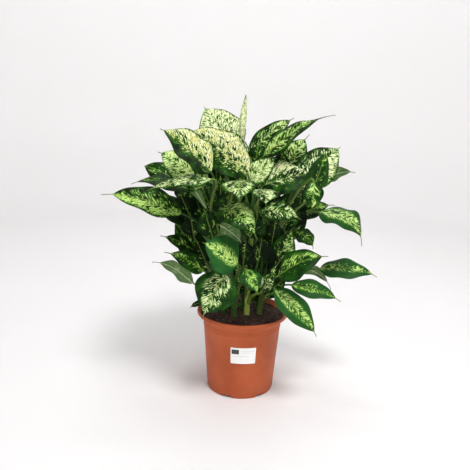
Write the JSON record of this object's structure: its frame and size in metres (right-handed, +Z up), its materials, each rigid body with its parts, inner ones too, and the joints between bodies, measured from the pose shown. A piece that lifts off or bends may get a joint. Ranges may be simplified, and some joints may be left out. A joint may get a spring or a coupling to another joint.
{
  "type": "potted dieffenbachia",
  "caption": "Potted dieffenbachia: leafy canes with cream and green mottled leaves, standing in soil in a round terracotta-coloured nursery pot.",
  "frame": {"origin": "centre of the pot's underside, on the surface that the pot stands on", "axes": "+Z up, -Y towards the side that the picture shows, +X to the picture's right"},
  "size_m": [0.5585, 0.4054, 0.6081],
  "materials": {
    "pot": "satin terracotta-coloured polypropylene",
    "label": "white coated paper with a plain dark block and grey bars",
    "soil": "crumbly dark red-brown peat mix",
    "stem": "smooth fleshy green, paler at the sheaths",
    "leaf_pale": "satin cream-yellow leaf with dark green flecks and margin",
    "leaf_green": "satin green leaf with lime mottling along the veins"
  },
  "bodies": {
    "root": {"pot": "pot", "label": "label", "soil": "soil", "stem_1": "stem", "stem_2": "stem", "stem_3": "stem", "stem_4": "stem", "stem_5": "stem", "stem_6": "stem", "stem_7": "stem", "leaf_01": "leaf_pale", "leaf_02": "leaf_pale", "leaf_03": "leaf_pale", "leaf_04": "leaf_pale", "leaf_05": "leaf_pale", "leaf_06": "leaf_green", "leaf_07": "leaf_pale", "leaf_08": "leaf_pale", "leaf_09": "leaf_green", "leaf_10": "leaf_green", "leaf_11": "leaf_green", "leaf_12": "leaf_pale", "leaf_13": "leaf_pale", "leaf_14": "leaf_pale", "leaf_15": "leaf_pale", "leaf_16": "leaf_green", "leaf_17": "leaf_green", "leaf_18": "leaf_green", "leaf_19": "leaf_green", "leaf_20": "leaf_green", "leaf_21": "leaf_green", "leaf_22": "leaf_green", "leaf_23": "leaf_green", "leaf_24": "leaf_green", "leaf_25": "leaf_green", "leaf_26": "leaf_green", "leaf_27": "leaf_green", "leaf_28": "leaf_green", "leaf_29": "leaf_green", "leaf_30": "leaf_green", "leaf_31": "leaf_green", "leaf_32": "leaf_green", "leaf_33": "leaf_green", "leaf_34": "leaf_green", "leaf_35": "leaf_green", "leaf_36": "leaf_green", "leaf_37": "leaf_green", "leaf_38": "leaf_green", "leaf_39": "leaf_green", "leaf_40": "leaf_green", "leaf_41": "leaf_green", "leaf_42": "leaf_green", "leaf_43": "leaf_green", "leaf_44": "leaf_green", "leaf_45": "leaf_green", "leaf_46": "leaf_green", "leaf_47": "leaf_green", "leaf_48": "leaf_green", "spire": "leaf_pale"}
  },
  "joints": []
}
